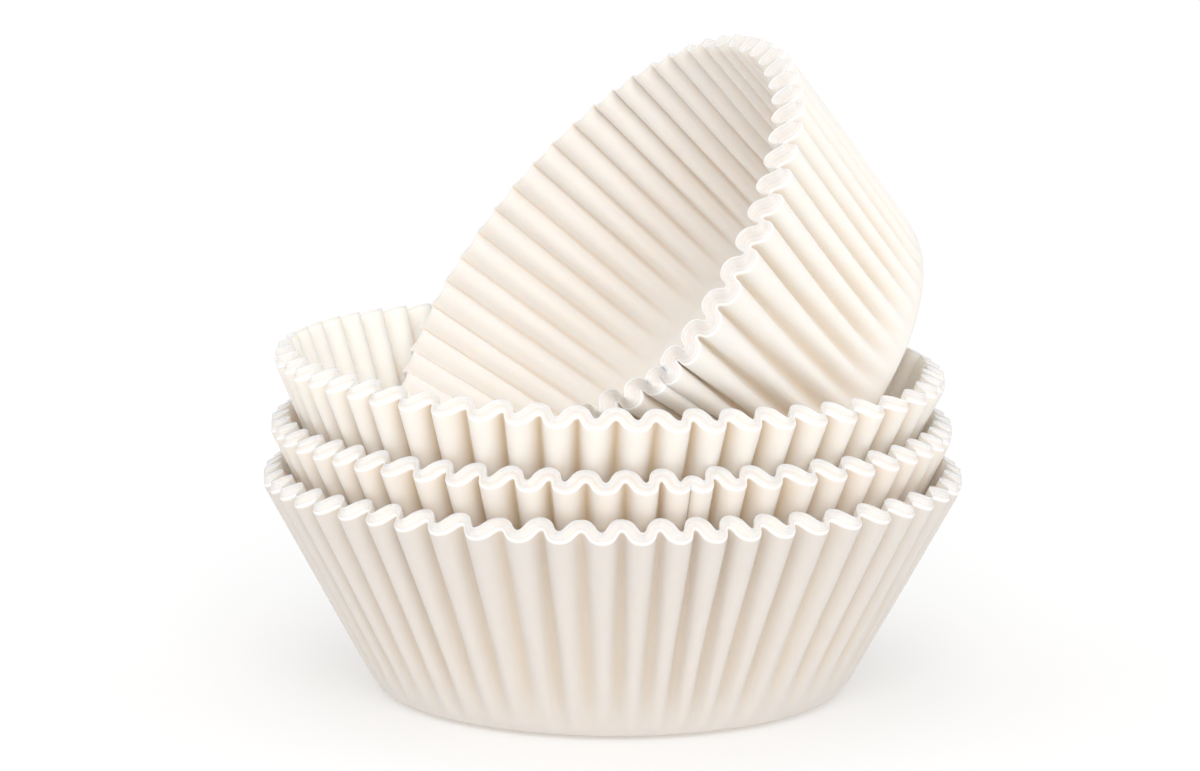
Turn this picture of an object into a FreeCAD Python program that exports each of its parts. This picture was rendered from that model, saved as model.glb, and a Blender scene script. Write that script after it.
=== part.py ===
# Stack of pleated paper baking cups
# Three bundles of nested cups stand in each other and a fourth bundle leans in the top one.
# A cup is pressed from a flat round of paper, so each pleat holds the paper that the cone can't.
import FreeCAD, Part
import math
import os

doc = FreeCAD.newDocument("cupcake_liners")

# Driving sizes, in millimetres and degrees
sheet = doc.addObject("Spreadsheet::Sheet", "sizes")
SIZES = [
    ("base_radius", 24.7, "radius of the flat bottom of every cup"),
    ("wall_length", 25.0, "bottom edge to paper edge, measured up a pleat"),
    ("pleat_count", 56, "pleats round one cup"),
    ("low_wall", 4.0, "length of wall in which the pleats grow out of the bottom edge"),
    ("bundle_wall", 0.6, "thickness of the nested sheets in the wall"),
    ("bundle_floor", 0.6, "thickness of the nested sheets in the bottom"),
    ("edge_stagger", 1.05, "how far the innermost paper edge stands above the outermost"),
    ("lobe_share", 0.56, "part of the pitch that a pleat's round side takes"),
    ("groove_share", 0.24, "part of the pitch that a pleat's hollow side takes"),
    ("bottom_mouth", 36.5, "mouth radius of the bottom bundle"),
    ("middle_mouth", 35.6, "mouth radius of the middle bundle"),
    ("top_mouth", 34.9, "mouth radius of the top bundle"),
    ("leaning_mouth", 29.5, "mouth radius of the leaning bundle"),
    ("bottom_turn", -1.5, "first pleat of the bottom bundle"),
    ("middle_turn", -0.8, "first pleat of the middle bundle"),
    ("top_turn", -2.8, "first pleat of the top bundle"),
    ("leaning_turn", 3.08, "first pleat of the leaning bundle"),
    ("middle_play", 0.166, "play between the middle bundle and the paper edges below it"),
    ("middle_pitch", 1.2, "middle bundle tipped to the front in the bottom one"),
    ("middle_roll", 0.1, "middle bundle tipped to the right in the bottom one"),
    ("top_play", 0.242, "play between the top bundle and the paper edges below it"),
    ("top_pitch", 0.7, "top bundle tipped to the front in the middle one"),
    ("top_roll", 1.6, "top bundle tipped to the right in the middle one"),
    ("leaning_play", 0.05, "play between the leaning bundle and the pleats that it lies on"),
    ("leaning_right", 15.63, "leaning bundle's bottom centre, right of the top bundle's axis"),
    ("leaning_back", 6.63, "leaning bundle's bottom centre, behind the top bundle's axis"),
    ("leaning_heading", 202.4, "compass angle that the leaning mouth faces"),
    ("leaning_tilt", 52.15, "leaning bundle's axis off the top bundle's axis"),
    ("leaning_squash", 2.8, "how far its lower edge is pressed in where it lies"),
]
for row, (alias, value, note) in enumerate(SIZES, start=1):
    sheet.set("A%d" % row, alias.replace("_", " "))
    sheet.set("B%d" % row, str(value))
    sheet.set("C%d" % row, note)
    sheet.setAlias("B%d" % row, alias)
doc.recompute()


def pleat_depth(radius, paper_radius):
    # A sine fold of this depth uses up the paper left over at this radius
    spare = max(paper_radius / radius - 1.0, 0.0)
    steepness = 2.0 * math.sqrt(spare) * (1.0 + 0.35 * spare)
    return 2.0 * radius / sheet.pleat_count * steepness


class Cup:
    # What follows from a bundle's mouth: its flare and the pleats at the low line and the paper edge
    def __init__(self, mouth):
        self.flare = math.asin((mouth - sheet.base_radius) / sheet.wall_length)
        self.mouth = mouth
        self.height = sheet.wall_length * math.cos(self.flare)
        self.depth = pleat_depth(mouth - sheet.bundle_wall, sheet.base_radius + sheet.wall_length)
        self.rise = self.depth * math.tan(self.flare)
        self.low_ridge = sheet.base_radius + sheet.low_wall * math.sin(self.flare)
        self.low_height = sheet.low_wall * math.cos(self.flare)
        self.low_depth = pleat_depth(self.low_ridge, sheet.base_radius + sheet.low_wall)
        self.low_rise = self.low_depth * math.tan(self.flare)

    def inner_line(self):
        # Radius and height of the inner pleats that stand furthest in, from the floor up
        wall = sheet.bundle_wall
        floor = sheet.bundle_floor
        return [
            (sheet.base_radius - wall, floor),
            (self.low_ridge - wall - self.low_depth, self.low_height + floor + self.low_rise),
            (self.mouth - wall - self.depth, self.height + sheet.edge_stagger + self.rise),
        ]


def cup_ring(ridge, height, depth, rise, lobe, groove, turn, squash):
    # One closed profile round the cup: two corners on each pleat's ridge and two in its valley
    pitch = 2.0 * math.pi / sheet.pleat_count
    corners = []
    for pleat in range(int(sheet.pleat_count)):
        for middle, width, radius, up in (
            (0.0, lobe, ridge, height),
            (0.5, groove, ridge - depth, height + rise),
        ):
            for side in (-0.5, 0.5):
                angle = math.radians(turn) + pitch * (pleat + middle + side * width)
                reach = radius - squash * max(0.0, -math.sin(angle)) ** 4
                corners.append(FreeCAD.Vector(reach * math.cos(angle), reach * math.sin(angle), up))
    return corners


def flat_face(corners):
    return Part.Face(Part.makePolygon(corners + [corners[0]]))


def pleated_band(lower, upper):
    # Ridges and valleys are flat strips, and each slanting side between them is folded once
    faces = []
    count = len(lower)
    for i in range(count):
        j = (i + 1) % count
        if i % 4 == 1:
            faces.append(flat_face([lower[i], lower[j], upper[i]]))
            faces.append(flat_face([lower[j], upper[j], upper[i]]))
        else:
            faces.append(flat_face([lower[i], lower[j], upper[j]]))
            faces.append(flat_face([lower[i], upper[j], upper[i]]))
    return faces


def cup_rings(mouth, turn, squash=0.0):
    # Profiles up the outside, over the paper edges and down the inside
    cup = Cup(mouth)
    wall = sheet.bundle_wall
    floor = sheet.bundle_floor
    lobe = sheet.lobe_share
    groove = sheet.groove_share
    top = cup.height + sheet.edge_stagger
    return [
        cup_ring(sheet.base_radius, 0.0, 0.0, 0.0, lobe, groove, turn, squash),
        cup_ring(cup.low_ridge, cup.low_height, cup.low_depth, cup.low_rise, lobe, groove, turn, 0.8 * squash),
        cup_ring(mouth, cup.height, cup.depth, cup.rise, lobe, groove, turn, 0.0),
        cup_ring(mouth - wall, top, cup.depth, cup.rise, groove, lobe, turn, 0.0),
        cup_ring(cup.low_ridge - wall, cup.low_height + floor, cup.low_depth, cup.low_rise,
                 groove, lobe, turn, 0.8 * squash),
        cup_ring(sheet.base_radius - wall, floor, 0.0, 0.0, groove, lobe, turn, squash),
    ]


def bundle(name, mouth, turn, squash=0.0):
    rings = cup_rings(mouth, turn, squash)
    faces = [flat_face(rings[0]), flat_face(rings[-1])]
    for lower, upper in zip(rings, rings[1:]):
        faces += pleated_band(lower, upper)
    solid = Part.Solid(Part.Shell(faces))
    item = doc.addObject("Part::Feature", name)
    item.Label = name
    item.Shape = solid.removeSplitter()
    return item


def seat(lower_mouth, mouth, play, pitch, roll):
    # An upright bundle comes down until its wall, its bottom edge or its bottom is stopped.
    # The lever says how far its bottom moves aside to stay central when it is tipped.
    line = Cup(lower_mouth).inner_line()
    slope = math.tan(Cup(mouth).flare)
    reach = sheet.base_radius + play
    tip = abs(math.radians(pitch)) + abs(math.radians(roll))
    stops = [(line[0][1] + play + sheet.base_radius * tip, 0.0)]
    for radius, height in line[1:]:
        base = height - (radius - reach) / slope
        stops.append((base, height - base + radius * slope))
    for (inner, low), (outer, high) in zip(line, line[1:]):
        if inner <= reach <= outer:
            steepness = (outer - inner) / (high - low)
            stops.append((low + (reach - inner) / steepness, sheet.base_radius * steepness))
    base, lever = max(stops)
    place = FreeCAD.Vector(
        -lever * math.tan(math.radians(roll)), lever * math.tan(math.radians(pitch)), base)
    return FreeCAD.Placement(place, FreeCAD.Rotation(0.0, roll, pitch))


def resting_place(mouth, squash, lower_mouth, play):
    # The leaning bundle comes down in the bundle below until the first of its pleats lies on it
    line = Cup(lower_mouth).inner_line()
    turned = FreeCAD.Rotation(sheet.leaning_heading + 90.0, 0.0, sheet.leaning_tilt)
    rings = cup_rings(mouth, sheet.leaning_turn, squash)[:3]
    samples = []
    for lower, upper in zip(rings, rings[1:]):
        for start, end in zip(lower, upper):
            for step in range(9):
                samples.append(turned.multVec(start + (end - start) * (step / 8.0)))
    centre = FreeCAD.Vector(sheet.leaning_right, sheet.leaning_back, 0.0)
    samples = [(math.hypot(p.x + centre.x, p.y + centre.y), p.z) for p in samples]

    def clear(lift):
        for radius, up in samples:
            height = up + lift
            if height < line[0][1] + play:
                return False
            for (inner, low), (outer, high) in zip(line, line[1:]):
                if low <= height <= high:
                    if radius > inner + (outer - inner) * (height - low) / (high - low) - play:
                        return False
        return True

    low, high = 0.0, 2.0 * (line[-1][1] + sheet.base_radius)
    while high - low > 0.0001:
        middle = (low + high) / 2.0
        if clear(middle):
            high = middle
        else:
            low = middle
    centre.z = high
    return FreeCAD.Placement(centre, turned)


bottom = bundle("bottom_liners", sheet.bottom_mouth, sheet.bottom_turn)
middle = bundle("middle_liners", sheet.middle_mouth, sheet.middle_turn)
top = bundle("top_liners", sheet.top_mouth, sheet.top_turn)
leaning = bundle("leaning_liners", sheet.leaning_mouth, sheet.leaning_turn, sheet.leaning_squash)

# Each bundle stands in the one below it
middle.Placement = seat(sheet.bottom_mouth, sheet.middle_mouth, sheet.middle_play,
                        sheet.middle_pitch, sheet.middle_roll)
top.Placement = middle.Placement * seat(sheet.middle_mouth, sheet.top_mouth, sheet.top_play,
                                        sheet.top_pitch, sheet.top_roll)
leaning.Placement = top.Placement * resting_place(sheet.leaning_mouth, sheet.leaning_squash,
                                                  sheet.top_mouth, sheet.leaning_play)
doc.recompute()

bundles = [bottom, middle, top, leaning]
for item in doc.Objects:
    if "Invalid" in item.State or "Error" in item.State:
        raise RuntimeError("%s failed: %s" % (item.Label, item.State))
for item in bundles:
    if item.Shape.isNull() or not item.Shape.isValid():
        raise RuntimeError("%s has no valid shape" % item.Label)

os.makedirs("parts", exist_ok=True)
for item in bundles:
    item.Shape.exportStep("parts/%s.step" % item.Label)
    print("%-16s %8.1f mm3, %d solid, %d faces" % (
        item.Label, item.Shape.Volume, len(item.Shape.Solids), len(item.Shape.Faces)))
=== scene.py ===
import math
import random
import bmesh
import bpy
from mathutils import Euler, Matrix, Vector, noise


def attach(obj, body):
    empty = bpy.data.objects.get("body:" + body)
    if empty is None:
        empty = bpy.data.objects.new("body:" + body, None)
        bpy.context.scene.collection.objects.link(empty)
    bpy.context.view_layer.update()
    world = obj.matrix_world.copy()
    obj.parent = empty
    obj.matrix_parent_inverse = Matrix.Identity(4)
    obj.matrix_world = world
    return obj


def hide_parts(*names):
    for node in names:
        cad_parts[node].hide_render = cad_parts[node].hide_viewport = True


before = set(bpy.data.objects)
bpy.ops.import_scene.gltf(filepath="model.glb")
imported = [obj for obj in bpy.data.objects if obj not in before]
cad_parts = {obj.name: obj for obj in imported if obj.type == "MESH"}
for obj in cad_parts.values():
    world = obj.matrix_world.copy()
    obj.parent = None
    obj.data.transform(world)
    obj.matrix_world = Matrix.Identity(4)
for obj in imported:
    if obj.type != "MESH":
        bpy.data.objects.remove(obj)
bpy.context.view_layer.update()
mm = 0.001
print("frame loaded")

# What every nest of paper cups is pressed to, in millimetres
cup = {
    "baseRadius": 24.7,     # flat bottom, out to the heel
    "wallLength": 25.0,     # up a pleat, from the heel to the outermost paper edge
    "pleats": 56,
    "pleatSteps": 28,       # rows of vertices across one pleat
    "foldTightness": 0.45,  # 0 is a soft meander, 2 nearly a crease
    "footRadius": 22.6,     # the bottom lies flat out to here and then lifts a little
    "footLift": 0.45,
    "heelTuck": 0.2,        # how far the rounded heel stays inside the base radius
    "heelLength": 2.8,      # how far up the wall the heel's rounding reaches
    "pleatStart": 0.3,      # the pleats begin this far up the wall
    "pleatFull": 5.5,       # and are fully formed here
    "lobeStart": 8.0,       # the lobes widen from here to the paper edge
    "drift": 0.12,          # slow unevenness round the wall
    # Rows of vertices, counted up the wall from the heel; below 0 they lie on the bottom
    "outsideRows": (-2.1, -1.2, -0.5, -0.1, 0.25, 0.8, 1.6, 2.6, 3.8, 5.5, 8.0, 11.0, 14.5, 18.0, 21.0, 23.3),
    "insideRows": (23.5, 20.5, 17.0, 13.0, 9.0, 6.2, 4.2, 2.8, 1.6, 0.7, -0.2, -1.2),
    "outsideLast": 0.22,    # last row outside, this far below the outermost paper edge
    "insideFirst": 0.35,    # first row inside, this far below the innermost one
}
axisRow = -99.0             # marks the two vertices on the axis


def smooth(low, high, value):
    t = min(1.0, max(0.0, (value - low) / (high - low)))
    return t * t * (3.0 - 2.0 * t)


def bend(knots, place):
    # Smooth line through a few (place, value) knots
    for (a, low), (b, high) in zip(knots, knots[1:]):
        if a <= place <= b:
            return low + (high - low) * smooth(a, b, place)
    return 0.0


# Cross-section of a pleat: a strip of paper bent from side to side
def foldCurve(crowding, samples=48):
    # Along, across and slope at even lengths of paper; crowding is paper length over pleat width
    tight = cup["foldTightness"]
    waves = [-math.tanh(tight * math.sin(2 * math.pi * i / samples)) / math.tanh(tight)
             for i in range(samples + 1)]
    low, high = 0.0, 2.3    # how far the paper may swing, in radians
    for _ in range(24):
        swing = (low + high) / 2
        if sum(math.cos(swing * w) for w in waves[:-1]) / samples > 1.0 / crowding:
            low = swing
        else:
            high = swing
    along, across, points = 0.0, 0.0, []
    for i, wave in enumerate(waves):
        points.append((along, across, swing * wave))
        if i < samples:
            middle = swing * (wave + waves[i + 1]) / 2
            along += crowding / samples * math.cos(middle)
            across += crowding / samples * math.sin(middle)
    return points


foldStep = 0.02
folds = [foldCurve(1.0002 + foldStep * i) for i in range(78)]


def foldAt(crowding, share):
    # Along, across and slope between the ready curves, and how deep the fold is there
    level = min(max((crowding - 1.0) / foldStep, 0.0), len(folds) - 1.001)
    place = share * (len(folds[0]) - 1)
    i, j = int(level), min(int(place), len(folds[0]) - 2)
    t, u = level - i, place - j
    values = []
    for n in range(3):
        below = folds[i][j][n] + (folds[i][j + 1][n] - folds[i][j][n]) * u
        above = folds[i + 1][j][n] + (folds[i + 1][j + 1][n] - folds[i + 1][j][n]) * u
        values.append(below + (above - below) * t)
    middle = len(folds[i]) // 2
    depth = -(folds[i][middle][1] * (1 - t) + folds[i + 1][middle][1] * t)
    return values[0], values[1], values[2], depth


# Profile of a nest: up the outside, over the paper edges, down the inside
def profilePoints(nest):
    # Length up the wall, place through the sheets (0 outside, 1 inside), and how much painted highlight a
    # paper edge gets
    wall, sheets = cup["wallLength"], nest["edges"]
    rnd = random.Random(nest["seed"] + 50)
    points = [(axisRow, 0.0, 0.0)]
    points += [(s, 0.0, 0.0) for s in (*cup["outsideRows"], wall - cup["outsideLast"])]
    for i in range(sheets):
        # The sheets crowd towards the inner edge, and each leaves a fine notch behind it
        start, end = (i / sheets) ** 0.8, ((i + 1) / sheets) ** 0.8
        top = wall + nest["edgeStep"] * (start + end) / 2
        cut = nest["edgeCut"] * rnd.uniform(0.6, 1.3)
        if i == 0:
            top = wall + 0.06
        # bright lays a painted highlight on the sheet edges: full on the first and the last sheet, up to half
        # on the others
        bright = 1.0 if i in (0, sheets - 1) else rnd.uniform(0.4, 0.75)
        step, width = nest["edgeStep"] * (end - start), end - start
        points.append((top, start, bright))
        points.append((top + step * 0.7, start + width * 0.8, bright))
        if i < sheets - 1:
            points.append((top + step * 0.75 - cut, start + width * 0.93, 0.4))
    points += [(s, 1.0, 0.0) for s in (wall + nest["edgeStep"] - cup["insideFirst"], *cup["insideRows"])]
    points += [(axisRow, 1.0, 0.0)]
    return points


def spunProfile(nest):
    # The bare profile turned round the axis; its vertices remember where they belong
    bm = bmesh.new()
    layers = [bm.verts.layers.float.new(name) for name in ("up", "through", "edge")]
    points = profilePoints(nest)
    last = None
    for i, values in enumerate(points):
        centre = i in (0, len(points) - 1)
        radius = 0.0 if centre else cup["baseRadius"] + 0.5 * values[0] - values[1]
        vert = bm.verts.new((radius, 0.0, 30.0 * i / len(points)))
        for layer, value in zip(layers, values):
            vert[layer] = value
        if last:
            bm.edges.new((last, vert))
        last = vert
    pitch = 2 * math.pi / cup["pleats"]
    bmesh.ops.spin(bm, geom=bm.verts[:] + bm.edges[:], cent=(0, 0, 0), axis=(0, 0, 1),
                   angle=pitch, steps=cup["pleatSteps"])
    bmesh.ops.spin(bm, geom=bm.verts[:] + bm.edges[:] + bm.faces[:], cent=(0, 0, 0), axis=(0, 0, 1),
                   angle=2 * math.pi - pitch, steps=cup["pleats"] - 1, use_duplicate=True)
    bmesh.ops.remove_doubles(bm, verts=bm.verts, dist=0.0005)
    return bm, layers


def pleatRidges(nest):
    # Where each pleat's ridge stands, counted in pleats, and how far it stands out
    rnd = random.Random(nest["seed"])
    ridges = [k + bend(nest["crowd"], k) + rnd.uniform(-1, 1) * nest["uneven"] for k in range(cup["pleats"])]
    ridges.append(ridges[0] + cup["pleats"])
    heights = [rnd.uniform(-1, 1) * nest["unevenDepth"] for _ in range(cup["pleats"])]
    heights.append(heights[0])
    return ridges, heights


def swell(nest, pleat):
    # How far the mouth bulges out of round
    if not nest["bulge"]:
        return 0.0
    peak, middle, before, after, rest = nest["bulge"]
    away = (pleat - middle + cup["pleats"] / 2) % cup["pleats"] - cup["pleats"] / 2
    return rest + peak * math.exp(-abs(away / (before if away < 0 else after)) ** 1.5)


def pressPleats(bm, layers, nest):
    # Every vertex moves to its place on the pleated sheet that it belongs to
    upLayer, throughLayer, edgeLayer = layers
    paintedShade, rim, inner = [bm.verts.layers.float.new(name) for name in ("paintedShade", "rim", "inner")]
    base, wall, pleats = cup["baseRadius"], cup["wallLength"], cup["pleats"]
    lean = (nest["mouth"] - base) / wall
    rise = math.sqrt(1 - lean * lean)
    ridges, heights = pleatRidges(nest)
    pitch = 2 * math.pi / pleats
    for v in bm.verts:
        up, inside = v[upLayer], v[throughLayer]
        if up == axisRow:
            v.co = (0, 0, nest["floor"] * inside)
            continue
        turns = (math.atan2(v.co.y, v.co.x) / pitch) % pleats
        pleat = int(turns + 1e-5) % pleats
        share = max(0.0, turns - int(turns + 1e-5))
        width = ridges[pleat + 1] - ridges[pleat]
        wallUp = max(up, 0.0)
        coneRadius = base + wallUp * lean
        # The paper that the cone's girth has no room for goes into the fold
        formed = smooth(cup["pleatStart"], cup["pleatFull"], wallUp)
        spare = (base + wallUp) / coneRadius * nest["paper"].get(pleat, 1.0) / width - 1.0
        slack = 1.0 - bend(nest["slack"], pleat + share) * smooth(10, wall, wallUp)
        crowding = 1.0 + max(0.0, spare) * nest["fullness"] * formed * slack
        along, across, slope, depth = foldAt(crowding, share)
        unit = pitch * width * coneRadius
        # Outside the lobes are wide and the hollows narrow, inside it is the other way round
        widened = 0.25 * formed + 0.75 * smooth(cup["lobeStart"], wall, wallUp)
        spread = nest["lobeRound"] * (1 - 2 * inside) * widened
        normal = across * unit - nest["thick"] * inside + spread * (math.cos(slope) - 1)
        blend = 0.5 - 0.5 * math.cos(math.pi * along)
        normal += (heights[pleat] * (1 - blend) + heights[pleat + 1] * blend) * smooth(3, 20, wallUp)
        around = (ridges[pleat] + along * width) * pitch - spread * math.sin(slope) / coneRadius
        normal += swell(nest, around / pitch) * (wallUp / wall) ** 1.6 * rise
        around += math.radians(nest["turn"])
        drift = noise.noise((7 * math.cos(around), 7 * math.sin(around), nest["seed"] + 0.05 * wallUp))
        normal += cup["drift"] * drift * formed
        radius = coneRadius + normal * rise
        height = wallUp * rise - normal * lean
        if up > wall - 1.0:
            ripple = noise.noise((40 * math.cos(around), 40 * math.sin(around), 9 * inside + nest["seed"]))
            height += nest["ripple"] * ripple * (0.3 + 0.7 * inside)
        # Heel and bottom
        heel = 1 - smooth(0.0, cup["heelLength"], wallUp)
        if up < 0.0:
            lift = smooth(base - cup["footRadius"], 0.0, -up) * cup["footLift"]
            radius = base + up - cup["heelTuck"] - nest["thick"] * inside
            height = lift * (1 - inside) + nest["floor"] * inside
        elif inside == 0.0:
            radius -= cup["heelTuck"] * heel
            height += cup["footLift"] * (1 - smooth(0.0, 1.2, up)) * 0.8
        else:
            height = height * (1 - heel) + heel * (nest["floor"] + 0.7 * up)
        # The lower edge is pressed in where the nest lies on another
        low = max(0.0, -math.sin(around)) ** 4
        squeeze = 1 - 0.05 * wallUp if wallUp < 4 else 0.8 * (wall - wallUp) / (wall - 4)
        if up > -3.0:
            radius -= nest["squash"] * squeeze * low
        v.co = (radius * math.cos(around), radius * math.sin(around), height)
        # Marks for the paper's colour. The shade mark set here is painted shade: tan in the hollows of the
        # outside pleats, fading in up the wall; thin tan lines along the grooves inside; and a dark underside
        # on the lifted foot, so the gap under the heel looks darker
        fold = min(1.0, -across / max(depth, 1e-4))
        hollow = fold ** 1.7 * (1 - inside) ** 2 + 0.8 * ((1 - fold) * inside) ** 7
        v[paintedShade] = hollow * smooth(0.5, 8, wallUp) + smooth(0.1, 0.8, -up) * (1 - inside)
        v[rim] = v[edgeLayer]
        v[inner] = inside


def makeNest(nest):
    bm, layers = spunProfile(nest)
    pressPleats(bm, layers, nest)
    turned = Euler([math.radians(a) for a in nest["tilt"]], "XYZ").to_matrix().to_4x4()
    bmesh.ops.transform(bm, matrix=Matrix.Translation(nest["place"]) @ turned, verts=bm.verts)
    bmesh.ops.scale(bm, vec=(mm, mm, mm), verts=bm.verts)
    bmesh.ops.recalc_face_normals(bm, faces=bm.faces)
    mesh = bpy.data.meshes.new(nest["name"])
    bm.to_mesh(mesh)
    bm.free()
    mesh.shade_smooth()
    mesh.set_sharp_from_angle(angle=math.radians(50))
    piece = bpy.data.objects.new(nest["name"], mesh)
    bpy.context.scene.collection.objects.link(piece)
    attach(piece, "root")
    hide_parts(nest["node"])
    print(nest["name"], len(mesh.vertices), "vertices")
    return piece


# Greaseproof paper
paper = {
    "paintedShade": (0.68, 0.545, 0.38),  # painted shade: the tan laid in the pleats' hollows, along the grooves inside and under the foot
    "band": (0.85, 0.81, 0.765),    # the cut edges of the sheets, seen together
    "edge": (0.99, 0.98, 0.965),    # painted highlight on the first and the last sheet's edge, and faintly on the others
    "lightTone": 1.015,             # faint clouds between these two tones of the outside's colour
    "darkTone": 0.985,
    "cloudScale": 520.0,
    "cloudDetail": 6.0,
    "roughness": 0.55,
    "specular": 0.25,
    "glow": (1.0, 0.85, 0.7),       # how far each colour travels in the paper
    "glowDepth": 0.0004,
    "grainScale": 2600.0,
    "grainDetail": 3.0,
    "grainStrength": 0.3,
    "grainDepth": 0.00003,
}


def tint(nodes, links, first, share, color):
    # A share of one colour over the first, which is a colour or a socket
    mixed = nodes.new("ShaderNodeMix")
    mixed.data_type = "RGBA"
    mixed.inputs[7].default_value = (*color, 1)
    links.new(share, mixed.inputs[0])
    if isinstance(first, tuple):
        mixed.inputs[6].default_value = (*first, 1)
    else:
        links.new(first, mixed.inputs[6])
    return mixed.outputs[2]


def noiseOn(nodes, links, coords, scale, detail):
    texture = nodes.new("ShaderNodeTexNoise")
    texture.inputs["Scale"].default_value = scale
    texture.inputs["Detail"].default_value = detail
    links.new(coords.outputs["Object"], texture.inputs["Vector"])
    return texture.outputs["Fac"]


def paperMaterial(nest):
    mat = bpy.data.materials.new(nest["name"] + "Paper")
    mat.use_nodes = True
    nodes, links = mat.node_tree.nodes, mat.node_tree.links
    shader = nodes["Principled BSDF"]
    coords = nodes.new("ShaderNodeTexCoord")
    clouds = noiseOn(nodes, links, coords, paper["cloudScale"], paper["cloudDetail"])
    # Each nest's outside tone holds painted light and shade as well as the paper's colour
    light, dark = (tuple(c * paper[tone] for c in nest["outside"]) for tone in ("lightTone", "darkTone"))
    color = tint(nodes, links, light, clouds, dark)
    # Each mark on the mesh, times a factor plus an offset, is the share of its colour: the inside's tone, the
    # painted shade in the hollows, the band of cut edges, and the painted highlight on the sheet edges
    for name, factor, offset, shade in (
            ("inner", 1.0, 0.0, nest["inside"]), ("paintedShade", nest["paintedShade"], 0.0, paper["paintedShade"]),
            ("rim", 2.0, 0.0, paper["band"]), ("rim", 2.0, -1.0, paper["edge"])):
        mark = nodes.new("ShaderNodeAttribute")
        mark.attribute_name = name
        amount = nodes.new("ShaderNodeMath")
        amount.operation = "MULTIPLY_ADD"
        amount.use_clamp = True
        amount.inputs[1].default_value = factor
        amount.inputs[2].default_value = offset
        links.new(mark.outputs["Fac"], amount.inputs[0])
        color = tint(nodes, links, color, amount.outputs[0], shade)
    links.new(color, shader.inputs["Base Color"])
    shader.inputs["Roughness"].default_value = paper["roughness"]
    shader.inputs["Specular IOR Level"].default_value = paper["specular"]
    shader.inputs["Subsurface Weight"].default_value = 1.0
    shader.inputs["Subsurface Radius"].default_value = paper["glow"]
    shader.inputs["Subsurface Scale"].default_value = paper["glowDepth"]
    bump = nodes.new("ShaderNodeBump")
    bump.inputs["Strength"].default_value = paper["grainStrength"]
    bump.inputs["Distance"].default_value = paper["grainDepth"]
    grain = noiseOn(nodes, links, coords, paper["grainScale"], paper["grainDetail"])
    links.new(grain, bump.inputs["Height"])
    links.new(bump.outputs["Normal"], shader.inputs["Normal"])
    return mat


# What the three standing nests share; the leaning one changes some of it
standing = {
    "thick": 0.6,           # the sheets together, in the wall
    "floor": 0.6,           # and in the bottom
    "edges": 8,             # paper edges that show in the rim
    "edgeStep": 1.0,        # how far the innermost one stands above the outermost
    "edgeCut": 0.04,        # notch between two of them
    "fullness": 1.15,       # how much of the spare paper goes into the pleats
    "uneven": 0.04,         # how far a ridge may stray, in pleats
    "unevenDepth": 0.07,    # and how far it may stand out
    "lobeRound": 0.56,      # how much wider a lobe is than the hollow beside it
    "ripple": 0.05,         # waviness of the paper edges
    "squash": 0.0,          # how far the lower edge is pressed in
    "bulge": None,          # mouth out of round: peak, middle pleat, reach before and after, rest
    "paper": {},            # share of its paper that a pleat got, where it isn't all of it
    "slack": [],            # how far the pleats are drawn flat, by pleat
    "paintedShade": 0.9,          # how strong the painted shade in the hollows is
}
# Each nest where its bundle stands; crowd says how far the ridges stand from even places, by pleat
# The nests' outside and inside tones differ to even out the light each one gets, over what is one paper: the
# bottom nest's outside is darker where the glowing floor lights it most, the middle and top nests' outsides
# are lighter where they lie between rims, the top nest's inside is lighter to cancel the leaning nest's
# shadow on it, and the leaning nest's inside is darker where much light falls into its mouth. These
# differences are painted light and shade. The bottom and leaning nests also get a weaker painted shade in
# their hollows.
bottomNest = dict(
    standing, name="bottom_cups", node="bottom_liners", mouth=36.5, turn=-1.5, seed=3,
    place=(0.0, 0.0, 0.0), tilt=(0.0, 0.0, 0.0),
    outside=(0.73, 0.685, 0.64), inside=(0.90, 0.87, 0.83), paintedShade=0.45,
    crowd=[(0, 0), (30, 0), (36, 0.05), (42, 0.0), (48, -0.6), (51, -0.45), (54, -0.05), (56, 0)])
middleNest = dict(
    standing, name="middle_cups", node="middle_liners", mouth=35.6, turn=-0.8, seed=8,
    place=(-0.2, 0.75, 4.8), tilt=(1.19, 0.25, 0.0),
    outside=(0.85, 0.795, 0.73), inside=(0.90, 0.87, 0.83),
    paper={43: 0.5},        # the doubled pleat in its rim
    crowd=[(0, 0), (30, 1.55), (36, 1.3), (41, 0.98), (42, 0.93), (43, 0.8), (44, 0.35), (45, 0.15),
           (52, 0.13), (56, 0)])
topNest = dict(
    standing, name="top_cups", node="top_liners", mouth=34.9, turn=-2.8, seed=15,
    place=(-1.1, 0.95, 10.8), tilt=(1.88, 1.95, 0.0),
    outside=(0.88, 0.84, 0.785), inside=(0.95, 0.92, 0.88),
    crowd=[(0, 0), (24, 0), (31, 0.5), (36, 0.18), (42, 0.13), (49, 0.0), (53, 0.7), (56, 0)])
leaningNest = dict(
    standing, name="leaning_cups", node="leaning_liners", mouth=29.5, turn=3.08, seed=21,
    place=(15.2034, 7.0374, 29.5682), tilt=(51.3018, 2.4043, -67.6125),
    outside=(0.88, 0.845, 0.795), inside=(0.875, 0.845, 0.81), paintedShade=0.6,
    thick=1.0, lobeRound=0.55, fullness=1.03, edgeStep=1.35, edges=11, squash=2.8,
    bulge=(4.6, 53.5, 2.4, 7.0, -0.4), paper={51: 0.85, 52: 0.72},
    slack=[(0, 0), (12, 0), (18, 0.45), (34, 0.45), (42, 0), (56, 0)],
    crowd=[(0, 0.1), (10, 0.1), (20, 0), (46, 0.9), (50, 1.15), (51, 1.1), (52, 0.85), (53, 0.34),
           (54, 0.14), (55, 0.07), (56, 0.1)])

for nest in (bottomNest, middleNest, topNest, leaningNest):
    piece = makeNest(nest)
    piece.data.materials.append(paperMaterial(nest))
print("nests made")

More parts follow.
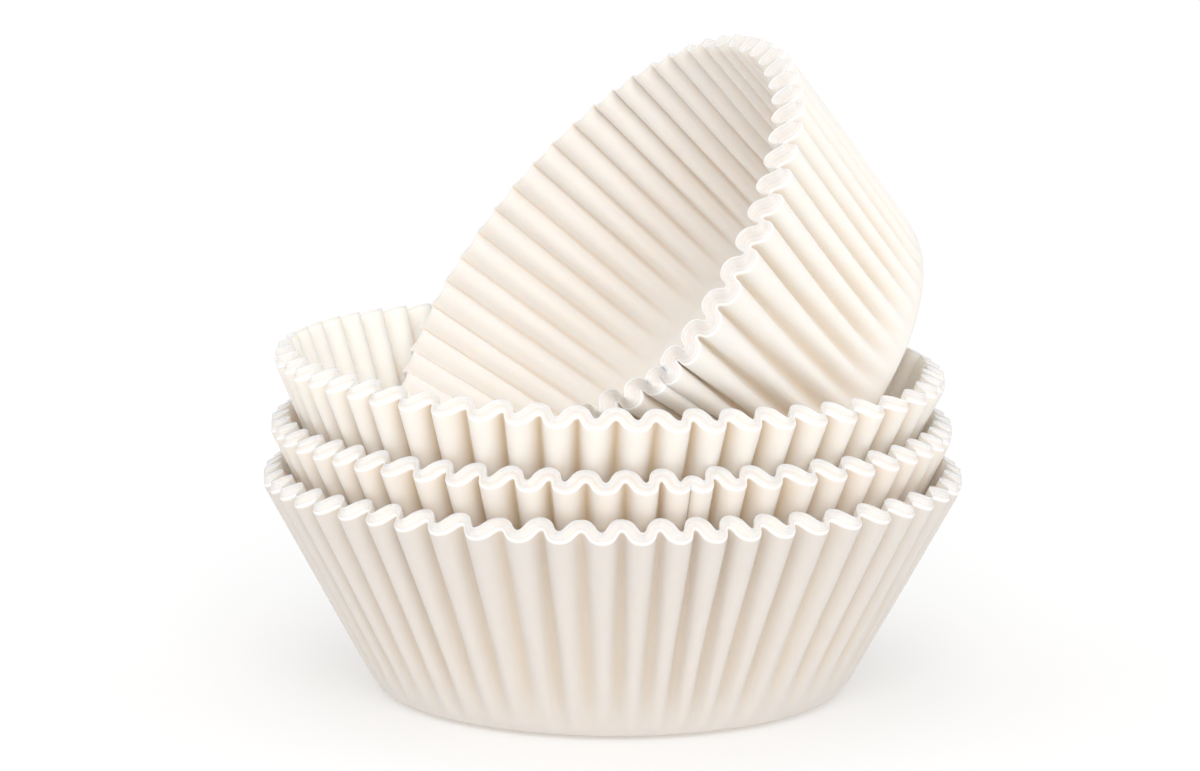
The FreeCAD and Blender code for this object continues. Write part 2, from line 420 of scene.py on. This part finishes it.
# Pale floor, in metres; its glow keeps the shadows light
floor = {"half": 8.0, "color": (0.64, 0.64, 0.64, 1.0), "roughness": 0.9, "glow": 0.32}


def makeFloor():
    bm = bmesh.new()
    bmesh.ops.create_grid(bm, x_segments=1, y_segments=1, size=floor["half"])
    mesh = bpy.data.meshes.new("floor")
    bm.to_mesh(mesh)
    bm.free()
    obj = bpy.data.objects.new("floor", mesh)
    bpy.context.scene.collection.objects.link(obj)
    mat = bpy.data.materials.new("whiteFloor")
    mat.use_nodes = True
    shader = mat.node_tree.nodes["Principled BSDF"]
    shader.inputs["Base Color"].default_value = floor["color"]
    shader.inputs["Roughness"].default_value = floor["roughness"]
    shader.inputs["Emission Color"].default_value = (1, 1, 1, 1)
    shader.inputs["Emission Strength"].default_value = floor["glow"]
    mesh.materials.append(mat)


makeFloor()

# Soft studio light: where each light points, its strength and its spread in degrees
studio = {
    "world": 0.66,
    "topLight": ((0.1, 0.1, -1.0), 0.75, 90),       # for the rims and the hollows
    "frontLight": ((-0.07, 0.89, -0.45), 1.3, 50),  # reaches in between the rims
    "diffuseBounces": 12,
    "bounces": 16,
}


def softSun(name):
    toward, power, spread = studio[name]
    light = bpy.data.lights.new(name, "SUN")
    light.energy = power
    light.angle = math.radians(spread)
    obj = bpy.data.objects.new(name, light)
    obj.rotation_euler = Vector(toward).to_track_quat("-Z", "Y").to_euler()
    bpy.context.scene.collection.objects.link(obj)


world = bpy.data.worlds.new("studio")
world.use_nodes = True
world.node_tree.nodes["Background"].inputs["Color"].default_value = (1, 1, 1, 1)
world.node_tree.nodes["Background"].inputs["Strength"].default_value = studio["world"]
bpy.context.scene.world = world
softSun("topLight")
softSun("frontLight")
bpy.context.scene.cycles.diffuse_bounces = studio["diffuseBounces"]
bpy.context.scene.cycles.max_bounces = studio["bounces"]
print("light set")

# Camera fitted to the photograph, in millimetres and degrees
camera = {
    "target": (0.0, 0.0, 31.64), "distance": 311.3, "elevation": 8.42, "yaw": -0.246, "roll": -0.372,
    "lens": 89.1, "sensor": 36.0, "clip": (0.01, 50.0),     # the clip in metres
}


def makeCamera():
    data = bpy.data.cameras.new("camera")
    data.lens = camera["lens"]
    data.sensor_width = camera["sensor"]
    data.sensor_fit = "HORIZONTAL"
    data.clip_start, data.clip_end = camera["clip"]
    obj = bpy.data.objects.new("camera", data)
    bpy.context.scene.collection.objects.link(obj)
    down = math.radians(camera["elevation"])
    away = Vector((0, -math.cos(down), math.sin(down))) * camera["distance"]
    place = (Vector(camera["target"]) + away) * mm
    look = (Matrix.Rotation(math.pi / 2 - down, 4, "X")
            @ Matrix.Rotation(-math.radians(camera["yaw"]), 4, "Y")
            @ Matrix.Rotation(-math.radians(camera["roll"]), 4, "Z"))
    obj.matrix_world = Matrix.Translation(place) @ look
    bpy.context.scene.camera = obj


makeCamera()
bpy.context.scene.view_settings.view_transform = "Standard"

print("done")
